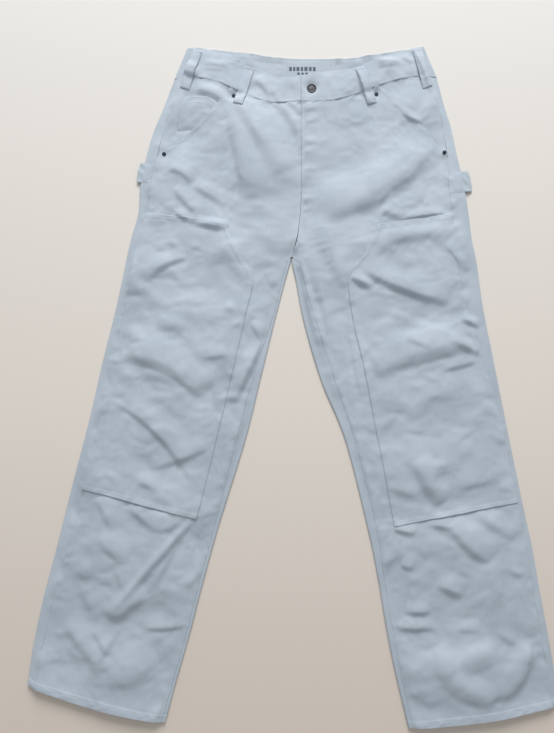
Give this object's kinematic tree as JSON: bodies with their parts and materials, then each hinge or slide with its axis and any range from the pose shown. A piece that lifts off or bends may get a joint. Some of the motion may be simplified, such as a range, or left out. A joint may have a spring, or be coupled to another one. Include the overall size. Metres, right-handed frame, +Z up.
{
  "type": "carpenter pants",
  "caption": "Carpenter pants laid flat with the front up: slanted pockets, double knees, belt loops, button waistband and straight legs spread apart.",
  "frame": {"origin": "on the surface that the garment lies on, under the middle of its box", "axes": "+Y from the hems towards the waist, +Z up out of the garment's front, +X towards the wearer's left leg"},
  "size_m": [0.82, 1.12, 0.0135],
  "materials": {
    "duck_cloth": "washed cotton duck, pale blue grey",
    "label_tape": "smooth woven tape",
    "button_steel": "worn grey metal",
    "rivet_steel": "dark oxidised metal"
  },
  "bodies": {
    "root": {"front_right": "duck_cloth", "front_left": "duck_cloth", "back_right": "duck_cloth", "back_left": "duck_cloth", "pocket_facing_right": "duck_cloth", "pocket_facing_left": "duck_cloth", "coin_pocket": "duck_cloth", "knee_patch_right": "duck_cloth", "knee_patch_left": "duck_cloth", "waistband_front_right": "duck_cloth", "waistband_front_left": "duck_cloth", "waistband_back": "duck_cloth", "belt_loop_front_right": "duck_cloth", "belt_loop_front_left": "duck_cloth", "belt_loop_side_right": "duck_cloth", "belt_loop_side_left": "duck_cloth", "tool_loop_right": "duck_cloth", "tool_loop_left": "duck_cloth", "label": "label_tape", "button": "button_steel", "rivet_pocket_top_right": "rivet_steel", "rivet_pocket_end_right": "rivet_steel", "rivet_pocket_top_left": "rivet_steel", "rivet_pocket_end_left": "rivet_steel"}
  },
  "joints": []
}
